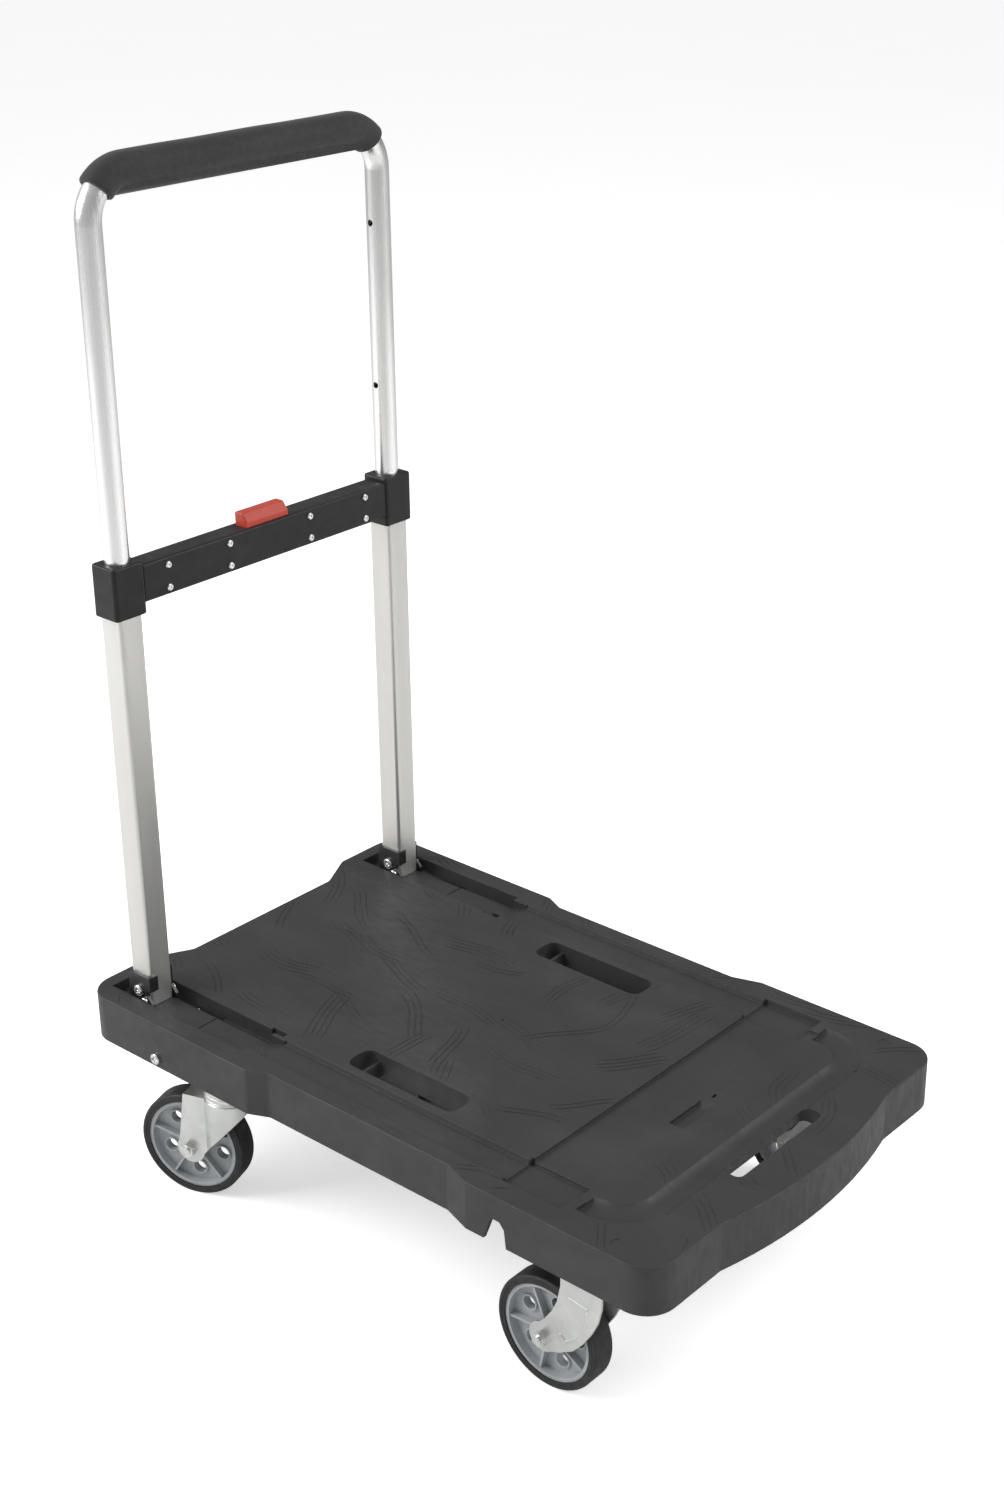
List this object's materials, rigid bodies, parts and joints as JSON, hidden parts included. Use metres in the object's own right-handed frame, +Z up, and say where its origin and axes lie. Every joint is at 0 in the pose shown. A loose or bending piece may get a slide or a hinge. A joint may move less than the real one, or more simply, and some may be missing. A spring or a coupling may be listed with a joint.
{
  "type": "folding platform cart",
  "caption": "Low platform cart with a moulded deck, fixed front and swivelling rear casters, and a folding, telescoping push handle.",
  "frame": {"origin": "on the floor under the middle of the bounding box", "axes": "+X forward, away from the handle; +Y left; +Z up"},
  "size_m": [0.68, 0.4178, 0.936],
  "materials": {
    "deck_plastic": "textured",
    "fastener_steel": "bright zinc",
    "caster_steel": "zinc plated",
    "black_steel": "satin black",
    "leg_aluminium": "satin anodised",
    "tube_aluminium": "brushed anodised",
    "black_plastic": "satin",
    "nylon": "plain",
    "button_red": "satin",
    "spring_steel": "bright",
    "grip_foam": "foam",
    "hub_plastic": "satin",
    "tyre_rubber": "matte"
  },
  "bodies": {
    "platform": {"deck": "deck_plastic", "caster_screws": "fastener_steel", "fold_axle_right": "fastener_steel", "fold_axle_left": "fastener_steel", "fold_nut_right": "fastener_steel", "fold_nut_left": "fastener_steel", "caster_plate_right": "caster_steel", "caster_plate_left": "caster_steel", "kingpin_right": "fastener_steel", "kingpin_left": "fastener_steel", "fork_front_right": "caster_steel", "fork_front_left": "caster_steel", "axle_front_right": "fastener_steel", "axle_front_left": "fastener_steel"},
    "handle": {"leg_right": "leg_aluminium", "leg_left": "leg_aluminium", "arm_outer_right": "black_steel", "arm_outer_left": "black_steel", "arm_inner_right": "black_steel", "arm_inner_left": "black_steel", "foot_bolts_right": "fastener_steel", "foot_bolts_left": "fastener_steel", "foot_plug_right": "black_plastic", "foot_plug_left": "black_plastic", "sleeve_right": "black_plastic", "sleeve_left": "black_plastic", "guide_bush_right": "nylon", "guide_bush_left": "nylon", "crossbar_front": "black_plastic", "crossbar_back": "black_plastic", "crossbar_rivets": "fastener_steel", "button_spring": "spring_steel"},
    "telescope": {"handle_tube": "tube_aluminium", "grip": "grip_foam", "tube_plug_right": "black_plastic", "tube_plug_left": "black_plastic"},
    "button": {"release_button": "button_red"},
    "pin_right": {"lock_pin_right": "spring_steel"},
    "swivel_right": {"fork_rear_right": "caster_steel", "axle_rear_right": "fastener_steel"},
    "pin_left": {"lock_pin_left": "spring_steel"},
    "swivel_left": {"fork_rear_left": "caster_steel", "axle_rear_left": "fastener_steel"},
    "wheel_front_right": {"hub_front_right": "hub_plastic", "tyre_front_right": "tyre_rubber", "bush_front_right": "nylon"},
    "wheel_front_left": {"hub_front_left": "hub_plastic", "tyre_front_left": "tyre_rubber", "bush_front_left": "nylon"},
    "wheel_rear_right": {"hub_rear_right": "hub_plastic", "tyre_rear_right": "tyre_rubber", "bush_rear_right": "nylon"},
    "wheel_rear_left": {"hub_rear_left": "hub_plastic", "tyre_rear_left": "tyre_rubber", "bush_rear_left": "nylon"}
  },
  "joints": [
    {"name": "handle_fold", "type": "hinge", "parent": "platform", "child": "handle", "pos_m": [-0.2435, 0, 0.144], "axis": [0, -1, 0], "range_deg": [-90, 0]},
    {"name": "handle_extend", "type": "slide", "parent": "handle", "child": "telescope", "axis": [0, 0, 1], "range_m": [-0.2608, 0]},
    {"name": "button_press", "type": "slide", "parent": "handle", "child": "button", "axis": [0, 0, 1], "range_m": [-0.007, 0], "stiffness_N_per_m": 700, "springref_m": 0.004, "deforming": ["button_spring"]},
    {"name": "pin_slide_right", "type": "slide", "parent": "handle", "child": "pin_right", "axis": [0, 1, 0], "range_m": [0, 0.006]},
    {"name": "pin_slide_left", "type": "slide", "parent": "handle", "child": "pin_left", "axis": [0, 1, 0], "range_m": [-0.006, 0]},
    {"name": "caster_swivel_right", "type": "hinge", "parent": "platform", "child": "swivel_right", "pos_m": [-0.189, -0.168, 0.12], "axis": [0, 0, 1], "continuous": true},
    {"name": "wheel_spin_front_right", "type": "hinge", "parent": "platform", "child": "wheel_front_right", "pos_m": [0.202, -0.175, 0.0525], "axis": [0, 1, 0], "continuous": true},
    {"name": "wheel_spin_rear_right", "type": "hinge", "parent": "swivel_right", "child": "wheel_rear_right", "pos_m": [-0.22504, -0.18006, 0.0525], "axis": [-0.3173, 0.9483, 0], "continuous": true},
    {"name": "caster_swivel_left", "type": "hinge", "parent": "platform", "child": "swivel_left", "pos_m": [-0.189, 0.168, 0.12], "axis": [0, 0, 1], "continuous": true},
    {"name": "wheel_spin_front_left", "type": "hinge", "parent": "platform", "child": "wheel_front_left", "pos_m": [0.202, 0.175, 0.0525], "axis": [0, 1, 0], "continuous": true},
    {"name": "wheel_spin_rear_left", "type": "hinge", "parent": "swivel_left", "child": "wheel_rear_left", "pos_m": [-0.22504, 0.15594, 0.0525], "axis": [-0.3173, 0.9483, 0], "continuous": true}
  ],
  "couplings": [
    {"joint": "pin_slide_right", "follows": "button_press", "ratio": -0.857},
    {"joint": "pin_slide_left", "follows": "button_press", "ratio": 0.857}
  ]
}
